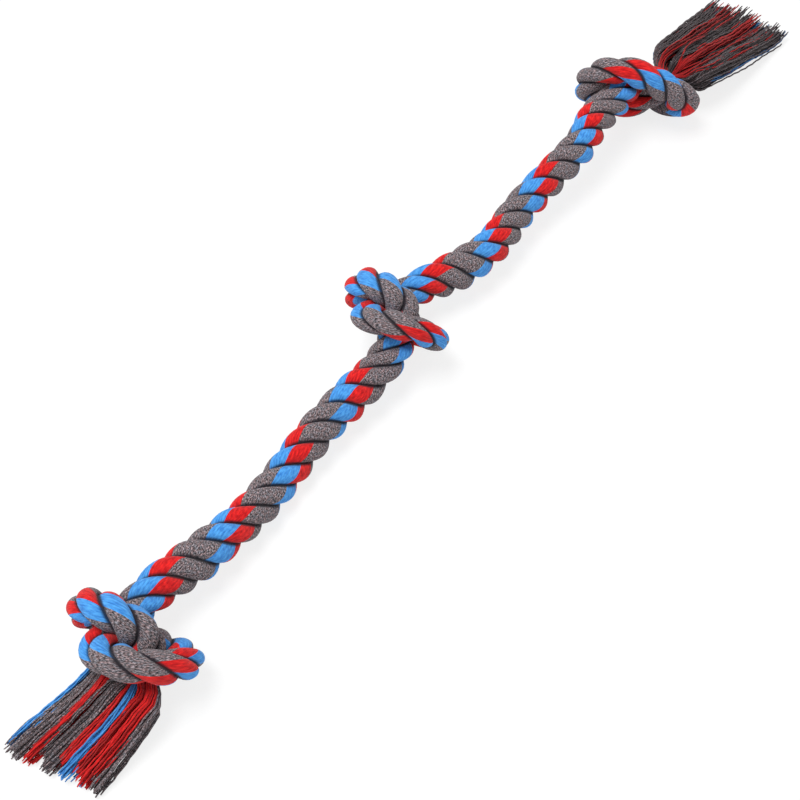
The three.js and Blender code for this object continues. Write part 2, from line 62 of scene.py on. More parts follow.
looking = Vector((
    math.cos(view_heading) * math.cos(view_drop),
    math.sin(view_heading) * math.cos(view_drop),
    -math.sin(view_drop),
))
camera = bpy.data.objects.new("camera", bpy.data.cameras.new("camera"))
camera.location = camera_place - Vector(footprint_middle)
camera.rotation_euler = looking.to_track_quat("-Z", "Y").to_euler()
camera.data.sensor_width = sensor_width
camera.data.lens = lens_length
camera.data.clip_start = near_limit
bpy.context.collection.objects.link(camera)
bpy.context.scene.camera = camera
bpy.context.scene.view_settings.view_transform = "Standard"


class Socket:
    """A shader socket that takes part in Python expressions."""

    def __init__(self, tree, link):
        self.tree = tree
        self.link = link

    def maths(self, operation, *others):
        values = [self, *others]
        return node(self.tree, "Math", {"operation": operation}, dict(enumerate(values)))

    def __add__(self, other):
        return self.maths("ADD", other)

    __radd__ = __add__

    def __sub__(self, other):
        return self.maths("SUBTRACT", other)

    def __rsub__(self, other):
        return node(self.tree, "Math", {"operation": "SUBTRACT"}, {0: other, 1: self})

    def __mul__(self, other):
        return self.maths("MULTIPLY", other)

    def __lt__(self, other):
        return self.maths("LESS_THAN", other)

    def floor(self):
        return self.maths("FLOOR")

    def fraction(self):
        return self.maths("FRACT")

    def absolute(self):
        return self.maths("ABSOLUTE")

    def held(self):
        """Held between nothing and one."""
        return node(self.tree, "Clamp", {}, {"Value": self})


def node(tree, kind, settings, values, output=0):
    """Adds a node: its settings go first, then the values or links of its sockets."""
    made = tree.nodes.new("ShaderNode" + kind)
    for name, value in settings.items():
        setattr(made, name, value)
    for name, value in values.items():
        if isinstance(value, Socket):
            tree.links.new(value.link, made.inputs[name])
        else:
            made.inputs[name].default_value = value
    return Socket(tree, made.outputs[output])


def new_material(name):
    material = bpy.data.materials.new(name)
    material.use_nodes = True
    material.node_tree.nodes.clear()
    return material, material.node_tree


def finish_shader(tree, shader, kind="Material"):
    output = tree.nodes.new("ShaderNodeOutput" + kind)
    tree.links.new(shader.link, output.inputs["Surface"])


sheet, tree = new_material("white_sheet")
seen = node(tree, "LightPath", {}, {}, "Is Camera Ray")
matte = node(tree, "BsdfDiffuse", {}, {"Color": (sheet_shade, sheet_shade, sheet_shade, 1)})
bright = node(tree, "Emission", {}, {"Color": (1, 1, 1, 1), "Strength": 1.0})
finish_shader(tree, node(tree, "MixShader", {}, {0: seen * sheet_glow, 1: matte, 2: bright}))

floor_mesh = bpy.data.meshes.new("floor")
floor_corners = [(x * sheet_half, y * sheet_half, 0) for x, y in ((-1, -1), (1, -1), (1, 1), (-1, 1))]
floor_mesh.from_pydata(floor_corners, [], [(0, 1, 2, 3)])
floor_mesh.materials.append(sheet)
floor = bpy.data.objects.new("floor", floor_mesh)
floor.location.z = -sheet_drop
bpy.context.collection.objects.link(floor)

world = bpy.data.worlds.new("room")
world.use_nodes = True
tree = world.node_tree
tree.nodes.clear()
seen = node(tree, "LightPath", {}, {}, "Is Camera Ray")
soft = node(tree, "Background", {}, {"Color": (1, 1, 1, 1), "Strength": room_light})
white = node(tree, "Background", {}, {"Color": (1, 1, 1, 1), "Strength": 1.0})
finish_shader(tree, node(tree, "MixShader", {}, {0: seen, 1: soft, 2: white}), "World")
bpy.context.scene.world = world

lamp = bpy.data.objects.new("key_lamp", bpy.data.lights.new("key_lamp", "AREA"))
lamp.data.energy = lamp_power
lamp.data.size = lamp_size
lamp.location = lamp_place
lamp.rotation_euler = (-lamp_place).to_track_quat("-Z", "Y").to_euler()
bpy.context.collection.objects.link(lamp)

# The rope.
# One length of three-strand cotton rope, 22 mm thick, laid to the right with a lay of 47 mm. It
# is tied in three overhand knots, and pulling draws it thinner in each. The knots were pressed
# flatter in the hand. Its line is worked out the way it is tied: a loose route, pulled tight.

strand_count = 3
lay_start = math.radians(20)

# Millimetres.
rope_diameter = 22.0
lay_length = 47.0
joint_gap = 0.3
pass_gap = 0.8
span_sag = 5.0
rest_gap = 0.15
lower_tip_place = (-346, 3)
lower_knot_place = (-277, 6)
lower_span_places = [(-230, 8.5), (-191, 17.5), (-130, 23), (-90, 30)]
middle_knot_place = (-40, 31)
upper_span_places = [(15, 23), (78, 31), (150, 25)]
upper_knot_place = (204, 22)
upper_tip_place = (352, 14)

# Rope diameters.
knot_route = [
    (-5.4, 0.0, 0.0), (-3.4, 0.0, 0.0), (-1.8, -0.3, 0.5), (0.0, -0.9, -0.5),
    (1.8, -1.0, -0.2), (2.7, 0.2, 0.5), (1.6, 1.5, 0.0), (-0.4, 1.7, 0.0),
    (-1.9, 0.9, -0.3), (-1.9, -0.3, -0.6), (-1.2, -1.5, 0.0), (0.0, -0.9, 0.6),
    (1.2, 0.0, 0.0), (2.7, 0.2, -0.6), (3.6, 0.0, 0.0), (5.4, 0.0, 0.0),
]
knot_slim = 0.8
slim_reach = 4.4
slim_fade = 1.6
least_bend = 0.6
knot_end = 5.2
span_exit = 2.0
lower_exit = 0.0
upper_exit = 0.6
under_cut = 0.1
shape_core = 1.5
shape_end = 3.3
level_reach = 1.6

# How finely the rope's line is worked out.
route_divisions = 20
axis_divisions = 60
knot_points = 140
rope_points = 3000
tightening_rounds = 1500
settling_rounds = 150
smoothing_rounds = 60
tightening_share = 0.25
smoothing_share = 0.5
pushes_per_round = 3
push_share = 0.8
cut_tries = 121
underside_steps_per_lay = 20
underside_angles = (-0.5, 0, 0.5)

# Headings, rises, rolls and turns are in degrees, and slips in turns of the yarns. The others
# are scales.
press_heading = 39.5
press_rise = 32
knots = [
    {"name": "lower_knot", "place": lower_knot_place, "roll": 266, "turn": 44,
     "turn_heading": 250.8, "turn_rise": 67, "swell": 1.0, "press": 0.88, "spread": 1.12,
     "slip": 0.0},
    {"name": "middle_knot", "place": middle_knot_place, "roll": 270, "turn": 42,
     "turn_heading": 219.4, "turn_rise": 54.5, "swell": 1.0, "press": 0.83, "spread": 1.11,
     "slip": 0.2},
    {"name": "upper_knot", "place": upper_knot_place, "roll": 136, "turn": -5,
     "turn_heading": 204.6, "turn_rise": 42.2, "swell": 1.08, "press": 0.84, "spread": 1.11,
     "slip": 0.2},
]


def ease(near, far, at):
    t = np.clip((at - near) / (far - near), 0, 1)
    return t * t * (3 - 2 * t)


def dots(a, b):
    return np.sum(a * b, axis=-1, keepdims=True)


def unit(a):
    return a / np.linalg.norm(a, axis=-1, keepdims=True)


def lengths_along(points):
    steps = np.linalg.norm(np.diff(points, axis=0), axis=1)
    return np.concatenate([[0], np.cumsum(steps)])


def points_at(points, lengths, at):
    return np.stack([np.interp(at, lengths, points[:, k]) for k in range(3)], axis=1)


def space_evenly(points, count):
    lengths = lengths_along(points)
    return points_at(points, lengths, np.linspace(0, lengths[-1], count))


def relax(points, share):
    moved = points.copy()
    moved[1:-1] += share * ((points[:-2] + points[2:]) / 2 - points[1:-1])
    return moved


def smooth_curve(points, divisions):
    """A curve through every point, with each slope set by the two neighbours."""
    p = np.array(points, float)
    p = np.vstack([2 * p[0] - p[1], p, 2 * p[-1] - p[-2]])
    at = np.linspace(0, len(points) - 1, divisions + 1)
    i = np.minimum(at.astype(int), len(points) - 2)
    t = (at - i)[:, None]
    a, b, c, d = (p[i + k] for k in range(4))
    return 0.5 * (2 * b + (c - a) * t + (2 * a - 5 * b + 4 * c - d) * t**2
                  + (3 * b - a - 3 * c + d) * t**3)


def slim_at(off):
    """The rope's thickness at a length off a knot's middle, both in rope diameters."""
    fade = ease(slim_reach, slim_reach + slim_fade, np.abs(off))
    return knot_slim + (1 - knot_slim) * fade


def keep_apart(route, lengths, widths, clearance):
    """Moves the points of a route that are too close to each other apart."""
    between = route[None] - route[:, None]
    distance = np.linalg.norm(between, axis=2)
    apart = np.abs(lengths[None] - lengths[:, None])
    width = (widths[None] + widths[:, None]) / 2
    bend = least_bend * width
    chord = np.minimum(width, 2 * bend * np.sin(np.minimum(apart / (2 * bend), math.pi / 2)))
    least = np.where(apart > math.pi * bend, width + clearance, chord)
    order = np.arange(len(route))
    close = (np.abs(order[None] - order[:, None]) >= 2) & (distance < least)
    short = np.where(close, least - distance, 0)
    moves = -(between * (short / np.maximum(distance, 1e-9))[:, :, None]).sum(axis=1)
    touches = np.maximum(close.sum(axis=1), 1)[:, None]
    moved = route + push_share * moves / touches
    moved[[0, -1]] = route[[0, -1]]
    return moved


def tighten(route, rounds):
    """Pulls a route as short as its own thickness lets it go."""
    clearance = pass_gap / (rope_diameter * min(knot["press"] for knot in knots))
    for _ in range(rounds):
        route = space_evenly(relax(route, tightening_share), knot_points)
        lengths = lengths_along(route)
        widths = slim_at(lengths - lengths[-1] / 2)
        for _ in range(pushes_per_round):
            route = keep_apart(route, lengths, widths, clearance)
    return route


def rolled(points, degrees):
    """Turned about the rope's own line."""
    c, s = math.cos(math.radians(degrees)), math.sin(math.radians(degrees))
    x, y, z = points.T
    return np.stack([x, y * c - z * s, y * s + z * c], axis=1)


def turned(points, line, angles):
    c, s = np.cos(angles)[:, None], np.sin(angles)[:, None]
    return points * c + np.cross(line, points) * s + line * (points @ line)[:, None] * (1 - c)


def slanted(heading, rise):
    heading, rise = math.radians(heading), math.radians(rise)
    return np.array([
        math.cos(heading) * math.cos(rise), math.sin(heading) * math.cos(rise), math.sin(rise),
    ])


# A knot is pressed flatter along one line square to the one it is turned about, and spreads
# along the other.
for knot in knots:
    knot["turn_line"] = slanted(knot["turn_heading"], knot["turn_rise"])
    press = slanted(press_heading, press_rise)
    press -= knot["turn_line"] * (press @ knot["turn_line"])
    knot["press_line"] = unit(press)
    knot["spread_line"] = np.cross(knot["turn_line"], knot["press_line"])

# The line down the middle of the toy in plan, and the length along it at each knot.
axis_places = [
    lower_tip_place, lower_knot_place, *lower_span_places, middle_knot_place,
    *upper_span_places, upper_knot_place, upper_tip_place,
]
axis = smooth_curve([(x, y, 0) for x, y in axis_places], axis_divisions * (len(axis_places) - 1))
axis_lengths = lengths_along(axis)
for knot in knots:
    knot["at"] = axis_lengths[axis_divisions * axis_places.index(knot["place"])]


def hold_at(local):
    """How strongly a knot's own shape holds at a place off its middle, in rope diameters."""
    return 1 - ease(shape_core, shape_end, np.linalg.norm(local, axis=1))


def shape_knot(points, knot):
    """Moves points of the rope to their places in the finished knot."""
    middle = np.array([knot["at"], 0, 0])
    local = points - middle
    hold = hold_at(local / rope_diameter)[:, None]
    local = local * (1 + (knot["swell"] - 1) * hold)
    for name in ("press", "spread"):
        line = knot[name + "_line"]
        local = local + line * (knot[name] - 1) * hold * (local @ line)[:, None]
    return local + middle


def height_at(lengths):
    """Height of the rope's middle line at lengths along the axis."""
    height = np.full(len(lengths), knots[0]["height"])
    for before, after in zip(knots, knots[1:]):
        level = level_reach * rope_diameter
        t = ease(before["at"] + level, after["at"] - level, lengths)
        run = before["height"] + (after["height"] - before["height"]) * t
        run = run - span_sag * np.sin(math.pi * t) ** 2
        height = np.where(lengths >= before["at"], run, height)
    return height


def lay_down(points):
    """Lays points of the straight toy along the axis, at the height that the rope has there."""
    placed = points.copy()
    for knot in knots:
        near = np.abs(points[:, 0] - knot["at"]) < shape_end * rope_diameter
        placed[near] = shape_knot(points[near], knot)
    x = placed[:, 0]
    i = np.clip(np.searchsorted(axis_lengths, x) - 1, 0, len(axis) - 2)
    step = axis[i + 1] - axis[i]
    t = (x - axis_lengths[i]) / (axis_lengths[i + 1] - axis_lengths[i])
    base = axis[i] + step * t[:, None]
    across = unit(step) @ np.array([[0, 1, 0], [-1, 0, 0], [0, 0, 0]])
    laid = base + across * placed[:, 1:2]
    laid[:, 2] = placed[:, 2] + height_at(x)
    return laid


loose_route = space_evenly(smooth_curve(knot_route, route_divisions * len(knot_route)), knot_points)
tight_route = tighten(loose_route, tightening_rounds)

rope_parts = []
kept_reach = min(
    knot_end * rope_diameter, *((b["at"] - a["at"]) / 2 for a, b in zip(knots, knots[1:]))
)
for knot in knots:
    cocked = math.radians(knot["turn"]) * hold_at(tight_route)
    settled = rolled(tight_route, knot["roll"])
    settled = tighten(turned(settled, knot["turn_line"], cocked), settling_rounds)
    knot["excess"] = lengths_along(settled)[-1] - np.linalg.norm(settled[-1] - settled[0])
    placed = settled * rope_diameter + [knot["at"], 0, 0]
    rope_parts.append(placed[np.abs(placed[:, 0] - knot["at"]) < kept_reach])
    knot["centre"] = placed[knot_points // 2]

rope = space_evenly(np.vstack(rope_parts), rope_points)
for _ in range(smoothing_rounds):
    rope = relax(rope, smoothing_share)
rope_lengths = lengths_along(rope)
for knot in knots:
    knot["middle"] = rope_lengths[np.argmin(np.linalg.norm(rope - knot["centre"], axis=1))]

# A frame that follows the rope without twisting about it.
along = unit(np.gradient(rope, axis=0))
side = np.zeros_like(rope)
side[0] = (0, 1, 0)
for i in range(len(rope)):
    carried = side[max(i - 1, 0)]
    side[i] = unit(carried - along[i] * (carried @ along[i]))
up = np.cross(along, side)


def radius_at(lengths):
    shares = [slim_at((lengths - knot["middle"]) / rope_diameter) for knot in knots]
    return rope_diameter / 2 * np.min(shares, axis=0)


def stations(lengths):
    """The rope's points and frames at lengths along it."""
    point = points_at(rope, rope_lengths, lengths)
    return point, *(unit(points_at(a, rope_lengths, lengths)) for a in (along, side, up))


def turn_at(lengths, strand):
    return lay_start + 2 * math.pi * (lengths / lay_length + strand / strand_count)


def cut_near(length):
    """The length nearest to a given one where a strand lies squarely under the other two."""
    at = length + lay_length / strand_count / 2 * np.linspace(-1, 1, cut_tries)
    _, _, across, over = stations(at)
    turns = turn_at(at[:, None], np.arange(strand_count)[None])
    heights = across[:, 2:] * np.cos(turns) + over[:, 2:] * np.sin(turns)
    return at[np.argmin(heights) // strand_count]


# Where each stretch of the rope starts and ends.
cuts = []
last_knot = len(knots) - 1
for i, knot in enumerate(knots):
    half = knot["excess"] / 2
    before = knot["middle"] - (half + (lower_exit if i == 0 else span_exit)) * rope_diameter
    after = knot["middle"] + (half + (upper_exit if i == last_knot else span_exit)) * rope_diameter
    cuts.append(cut_near(before) if i == 0 else before)
    cuts.append(cut_near(after) if i == last_knot else after)
rope_start, rope_end = cuts[0], cuts[-1]

# Height of each knot's middle, so that its underside lies flat a little way in.
for i, knot in enumerate(knots):
    at = np.arange(cuts[2 * i], cuts[2 * i + 1], lay_length / underside_steps_per_lay)
    point, forward = stations(at)[:2]
    lowest = 0
    for angle in underside_angles:
        down = np.array([[0, math.sin(angle), -math.cos(angle)]])
        down = unit(down - forward * dots(down, forward))
        under = shape_knot(point + down * radius_at(at)[:, None], knot)
        lowest = min(lowest, under[:, 2].min())
    knot["height"] = -lowest - under_cut * rope_diameter

# The strands.
# Each is an oval of twisted yarn, wider than it is deep where its neighbours press it. A
# quarter of its yarn is bright blue, a quarter is red and half is heather grey.

yarns_round = 24
yarn_columns = 4
ring_step = 2.0
path_step = 4
uv_length = 10
yarn_ridge = 0.05
ridge_middle = 0.7
yarn_turns = 1.88
yarn_starts = (0.0, 0.33, 0.66)
red_share = 0.26
colour_share = 0.5

# Shares of the rope's thickness, and how much fuller than the solids the strands are.
strand_offset = 0.25
strand_depth = 0.25
strand_width = 0.29
span_fullness = 1.05
knot_fullness = 1.12

# Colours. Those of a pair are two shades that the yarn varies between.
blues = ((0.030, 0.18, 0.54), (0.090, 0.38, 0.82))
reds = ((0.38, 0.003, 0.006), (0.80, 0.018, 0.016))
heathers = ((0.19, 0.18, 0.20), (0.24, 0.175, 0.18))
heather_stops = ((0.32, 0.10), (0.46, 0.50), (0.56, 0.90), (0.70, 2.1))
# Painted shade, laid into the colour in the valleys between neighbouring yarns.
valley_shade_colour = (0.02, 0.015, 0.02)
# Painted shade, laid into the colour in the grooves between the strands.
groove_shade_colour = (0.008, 0.006, 0.012)
shaded_colour = (0.015, 0.009, 0.010)

# Noises: how fine each is across the yarns and along them, then its own settings.
tone_noise = {"across": 1.4, "along": 3.2, "scale": 1.0, "detail": 3.0, "roughness": 0.6}
fleck_noise = {"across": 2.6, "along": 9.5, "scale": 1.0, "detail": 2.0, "roughness": 0.6}
hue_noise = {"across": 2.6, "along": 9.5, "scale": 0.55, "detail": 1.0, "roughness": 0.5}
fibre_noise = {"across": 5, "along": 3.0, "slant": 6, "scale": 1.0, "detail": 3.0,
               "roughness": 0.65}
tone_start, tone_slope = 0.3, 2.5
hue_start, hue_slope = 0.4, 5
# How strongly shade is painted into the valleys between yarns.
valley_shade_depth = 0.16
# Painted shade in the grooves between strands: the crest share below which it starts, how sharp its
# edge is and how dark it gets.
groove_shade_start = 0.55
groove_shade_edge = 7
groove_shade_depth = 0.9
own_shade = 0.7
fibre_strength = 0.4
fibre_height = 0.0006


def to_metres(points):
    return points / 1000 - footprint_middle


def add_mesh(name, points, faces, uvs, places, material, slot, *replaced):
    """Makes a smooth mesh of quads with two UVs per corner, riding on the toy's one body."""
    mesh = bpy.data.meshes.new(name)
    mesh.from_pydata(points.tolist(), [], faces.tolist())
    for layer_name, values in (("yarn", uvs), ("depth", places)):
        layer = mesh.uv_layers.new(name=layer_name)
        layer.data.foreach_set("uv", values.reshape(-1))
    mesh.polygons.foreach_set("use_smooth", np.ones(len(faces), bool))
    mesh.materials.append(material)
    mesh.update()
    piece = bpy.data.objects.new(name, mesh)
    bpy.context.collection.objects.link(piece)
    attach(piece, "root")
    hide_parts(*replaced)
    return piece


def tube_quads(rings, columns):
    """An open tube's quads, and the ring and the column of each corner of each quad."""
    ring, column = np.meshgrid(np.arange(rings - 1), np.arange(columns), indexing="ij")
    rings_at = np.stack([ring, ring, ring + 1, ring + 1], axis=-1).reshape(-1, 4)
    columns_at = np.stack([column, column + 1, column + 1, column], axis=-1).reshape(-1, 4)
    return rings_at * columns + columns_at % columns, rings_at, columns_at


def slip_at(lengths):
    """How far tying has turned the yarns round in their strands, in turns."""
    return np.interp(lengths, [k["middle"] for k in knots], [k["slip"] for k in knots])


def strand_mesh(start, end, strand):
    """Rings along one strand, with each column following a yarn."""
    count = max(2, round((end - start) / ring_step)) + 1
    at = np.linspace(start, end, count)
    point, _, across, over = stations(at)
    slim = 2 * radius_at(at) / rope_diameter
    fullness = np.interp(slim, (knot_slim, 1), (knot_fullness, span_fullness))
    radius = (fullness * radius_at(at))[:, None]
    turn = turn_at(at, strand)
    outward = across * np.cos(turn)[:, None] + over * np.sin(turn)[:, None]
    sideways = over * np.cos(turn)[:, None] - across * np.sin(turn)[:, None]
    columns = yarns_round * yarn_columns
    share = np.arange(columns) / columns
    phase = yarn_turns * at / lay_length + yarn_starts[strand] + slip_at(at)
    angle = 2 * math.pi * (share[None] - phase[:, None])
    in_yarn = (share * yarns_round) % 1
    ridge = yarn_ridge * (np.sqrt(1 - (2 * in_yarn - 1) ** 2) - ridge_middle)
    depth = 2 * strand_depth * radius + ridge[None]
    width = 2 * strand_width * radius + ridge[None]
    out = 2 * strand_offset * radius + depth * np.cos(angle)
    beside = width * np.sin(angle)
    rings = (point[:, None] + outward[:, None] * out[:, :, None]
             + sideways[:, None] * beside[:, :, None])
    laid = lay_down(rings.reshape(-1, 3))
    laid[:, 2] = np.maximum(laid[:, 2], rest_gap)
    faces, rings_at, columns_at = tube_quads(count, columns)
    uvs = np.stack([columns_at / columns + strand, at[rings_at] / uv_length], axis=-1)
    # How near each corner lies to its strand's crest; the material paints shade into the grooves from
    # it.
    crests = ((1 + np.cos(angle)) / 2)[rings_at, columns_at % columns]
    places = np.stack([crests, np.ones_like(crests)], axis=-1)
    return laid, faces, uvs.reshape(-1, 8), places.reshape(-1, 8)


def mix(tree, share, first, second, blend="MIX"):
    """Mixes two colours. The node's colour sockets share their names, so they go by number."""
    made = tree.nodes.new("ShaderNodeMix")
    made.data_type = "RGBA"
    made.blend_type = blend
    for socket, value in ((0, share), (6, first), (7, second)):
        if isinstance(value, Socket):
            tree.links.new(value.link, made.inputs[socket])
        else:
            made.inputs[socket].default_value = value if socket == 0 else (*value, 1)
    return Socket(tree, made.outputs[2])


def grey_ramp(tree, share, stops):
    """A smooth run of greys."""
    made = tree.nodes.new("ShaderNodeValToRGB")
    elements = made.color_ramp.elements
    while len(elements) < len(stops):
        elements.new(0.5)
    for element, (place, level) in zip(elements, stops):
        element.position = place
        element.color = (level, level, level, 1)
    tree.links.new(share.link, made.inputs["Fac"])
    return Socket(tree, made.outputs["Color"])


def noise(tree, yarns, v, across, along, scale, detail, roughness, slant=0):
    x = yarns * across + v * slant if slant else yarns * across
    place = node(tree, "CombineXYZ", {}, {0: x, 1: v * along, 2: 0.0})
    return node(tree, "TexNoise", {"noise_dimensions": "2D"},
                {"Vector": place, "Scale": scale, "Detail": detail, "Roughness": roughness})


def uv_parts(tree, layer):
    uv = node(tree, "UVMap", {"uv_map": layer}, {})
    return (node(tree, "SeparateXYZ", {}, {0: uv}, part) for part in ("X", "Y"))


def cotton_material(name, zone_colours, shade=0.0):
    """Twisted cotton. u counts strands or loose yarns, and v is the length along, in cm."""
    material, tree = new_material(name)
    u, v = uv_parts(tree, "yarn")
    share = u.fraction()
    yarns = u * yarns_round
    light = ((noise(tree, yarns, v, **tone_noise) - tone_start) * tone_slope).held()
    hue = ((noise(tree, yarns, v, **hue_noise) - hue_start) * hue_slope).held()
    flecks = grey_ramp(tree, noise(tree, yarns, v, **fleck_noise), heather_stops)
    zones = {
        "blue": mix(tree, light, *blues),
        "red": mix(tree, light, *reds),
        "grey": mix(tree, 1.0, mix(tree, hue, *heathers), flecks, "MULTIPLY"),
    }
    if len(zone_colours) == 1:
        colour = zones[zone_colours[0]]
    else:
        bright = mix(tree, share < red_share, zones["red"], zones["blue"])
        colour = mix(tree, share < colour_share, zones["grey"], bright)
    # Painted shade: the colour darkens in the valleys between neighbouring yarns.
    valley = ((share * yarns_round).fraction() - 0.5).absolute() * 2
    valley_shade = (valley * valley * valley * valley_shade_depth).held()
    colour = mix(tree, valley_shade, colour, valley_shade_colour)
    # Painted shade in the grooves between strands, growing as the surface turns away from the
    # strand's crest.
    crest, _ = uv_parts(tree, "depth")
    groove_shade = ((groove_shade_start - crest) * groove_shade_edge).held()
    colour = mix(tree, groove_shade * groove_shade_depth, colour, groove_shade_colour)
    if len(zone_colours) == 1:
        own = node(tree, "TexWhiteNoise", {"noise_dimensions": "1D"}, {"W": u.floor()}, "Value")
        colour = mix(tree, (shade + own * own * own_shade).held(), colour, shaded_colour)
    fibre = noise(tree, yarns, v, **fibre_noise)
    bump = node(tree, "Bump", {},
                {"Strength": fibre_strength, "Distance": fibre_height, "Height": fibre})
    shader = node(tree, "BsdfPrincipled", {}, {
        "Base Color": colour, "Roughness": 0.92, "Specular IOR Level": 0.12,
        "Sheen Weight": 0.08, "Sheen Roughness": 0.6, "Normal": bump,
    })
    finish_shader(tree, shader)
    return material


strand_cotton = cotton_material("three_colour_cotton", ["blue", "red", "grey"])
stretch_names = ["lower_knot", "lower_span", "middle_knot", "upper_span", "upper_knot"]
for name, start, end in zip(stretch_names, cuts, cuts[1:]):
    points, faces, uvs, places, total = [], [], [], [], 0
    for strand in range(strand_count):
        strand_points, strand_faces, strand_uvs, strand_places = strand_mesh(start, end, strand)
        points.append(strand_points)
        faces.append(strand_faces + total)
        uvs.append(strand_uvs)
        places.append(strand_places)
        total += len(strand_points)
    piece = add_mesh(
        name, to_metres(np.vstack(points)), np.vstack(faces), np.vstack(uvs), np.vstack(places),
        strand_cotton, "laid_strand", *(f"{name}_strand_{n + 1}" for n in range(strand_count)),
    )
    path = to_metres(lay_down(stations(np.arange(start, end + path_step / 2, path_step))[0]))
    length = float(lengths_along(path)[-1])

# The tassels.
# Past the end knots the strands are unlaid into loose cotton yarn, cut off unevenly. The three
# strands lie side by side there, and each gives a lock of its blue, red and grey yarns.

# Lengths are in millimetres. The shoulder and the tips have a width and a thickness. Slant and
# raggedness make the yarns longer at some places than at others, and fray cuts each unevenly.
# Stray and mingle are shares of a strand's width, by which yarns wander. A shade darkens the
# cotton. A strand's locks go from one side of it to the other. Each has a colour and its share
# of the strand's width at the top and at the bottom.
tassels = [
    {"name": "lower_tassel", "end": -1, "tip": (-344, 1), "raggedness": 4, "slant": 10,
     "shoulder": (42, 14), "tips": (55, 8), "fray": 2.6, "stray": 0.04, "mingle": 0.08,
     "spread_by": 15, "flatten_by": 17, "shades": {"blue": -0.1, "grey": 0.0, "red": -0.05},
     "seed": 55,
     "strands": [
         [("blue", 0.17, 0.2), ("grey", 0.4, 0.5), ("red", 0.43, 0.3)],
         [("grey", 0.62, 0.38), ("red", 0.14, 0.36), ("blue", 0.24, 0.26)],
         [("red", 0.74, 0.42), ("blue", 0.0, 0.3), ("grey", 0.26, 0.28)],
     ]},
    {"name": "upper_tassel", "end": 1, "tip": (339, 18.5), "raggedness": 6, "slant": -2,
     "shoulder": (43, 18), "tips": (60, 9), "fray": 6.0, "stray": 0.06, "mingle": 0.32,
     "spread_by": 18, "flatten_by": 17, "shades": {"blue": 0.45, "grey": 0.46, "red": 0.34},
     "seed": 52,
     "strands": [
         [("blue", 0.0, 0.36), ("grey", 0.44, 0.36), ("red", 0.56, 0.28)],
         [("grey", 0.52, 0.38), ("red", 0.48, 0.38), ("blue", 0.0, 0.24)],
         [("red", 0.36, 0.28), ("blue", 0.0, 0.3), ("grey", 0.64, 0.42)],
     ]},
]

root_share = 0.72
flatten_from = 4
middle_points = 400
section_step = 2.0
section_spare = 20
thin_edge = 0.6
thinnest = 0.1
lock_core = 0.25
lock_crown = 0.2
heart_share = 0.6
ragged_waves = 3
handle_share = 0.25

yarn_radius = 0.5
yarn_sides = 6
yarns_per_mm2 = 0.95
yarn_step = 3
yarn_uv_width = 0.12
radius_shares = (0.8, 1.15)
taper_length = 5
taper_share = 0.35
clump_size = 5
clump_scatter = 0.11
lock_edges = (0.02, 0.98)
hidden_level = 0.6
mingle_own = 0.2
mingle_by = 30
edge_margin = 0.04
clump_ends = 0.6
clump_end_share = 0.5
yarn_ends = (-0.8, 0.5)
loose_from, loose_by = 10, 45
sway_lengths = (11, 6)
sway_small = 0.25
sway_share = 0.028
rise_length = 9
rise_share = 0.08
crimp_lengths = (8, 14)
crimp_size = 0.12
crimp_loose = 0.1


def tassel_root(tassel):
    """Where a tassel leaves the rope: points across its end face, and the way ahead."""
    length = rope_start if tassel["end"] < 0 else rope_end
    point, forward, across, over = (a[0] for a in stations(np.array([length])))
    radius = root_share * float(radius_at(np.array([length]))[0])
    centre = point + forward * tassel["end"] * joint_gap

    def face_at(angle, share):
        out = across * math.cos(angle) + over * math.sin(angle)
        return lay_down((centre + out * radius * share)[None])[0]

    ahead = lay_down((centre + forward * tassel["end"] * joint_gap)[None])[0]
    return length, radius, face_at, unit(ahead - face_at(0, 0))


def tassel_sections(tassel, start, ahead):
    """The tassel's middle, the ways across and over it and its half sizes, at lengths out."""
    tip = np.array([*tassel["tip"], tassel["tips"][1] / 2 + rest_gap])
    reach = np.linalg.norm(tip - start) * handle_share
    flat_away = unit((tip - start) * [1, 1, 0])
    a, b, c, d = start, start + ahead * reach, tip - flat_away * reach, tip
    t = np.linspace(0, 1, middle_points)[:, None]
    line = a * (1 - t)**3 + 3 * b * t * (1 - t)**2 + 3 * c * t**2 * (1 - t) + d * t**3
    lengths = lengths_along(line)
    full = lengths[-1]
    longest = full + tassel["raggedness"] + abs(tassel["slant"]) + section_spare
    outs = np.arange(0, longest, section_step)
    middle = points_at(line, lengths, np.minimum(outs, full))
    ways = unit(points_at(unit(np.gradient(line, axis=0)), lengths, np.minimum(outs, full)))
    middle = middle + ways * np.maximum(outs - full, 0)[:, None]
    across = unit(np.cross([0, 0, 1], ways))
    t_along = np.minimum(outs / full, 1)
    (wide0, thick0), (wide1, thick1) = tassel["shoulder"], tassel["tips"]
    wide = (wide0 + (wide1 - wide0) * t_along) / 2
    thick = (thick0 + (thick1 - thick0) * t_along) / 2
    middle[:, 2] = np.maximum(middle[:, 2], thick + rest_gap)
    return {"full": full, "outs": outs, "middle": middle, "across": across * tassel["end"],
            "over": np.cross(ways, across), "wide": wide, "thick": thick}


def strands_in_tassel(length, face_at):
    """Each strand's number and turn, its place from 1 to -1, its way up and its directions."""
    def towards(turn):
        return unit(face_at(turn, 1) - face_at(0, 0))

    turns = [float(turn_at(length, strand)) for strand in range(strand_count)]
    order = sorted(range(strand_count), key=lambda strand: towards(turns[strand])[2])
    under, *upright = order
    upright.sort(key=lambda strand: -towards(turns[strand])[1])
    placed = [(upright[0], 1, 1), (under, 0, -1), (upright[1], -1, 1)]
    return [
        {"number": number, "turn": turns[number], "place": place, "way": way,
         "across": way * towards(turns[number] - math.pi / 2),
         "over": way * towards(turns[number])}
        for number, place, way in placed
    ]


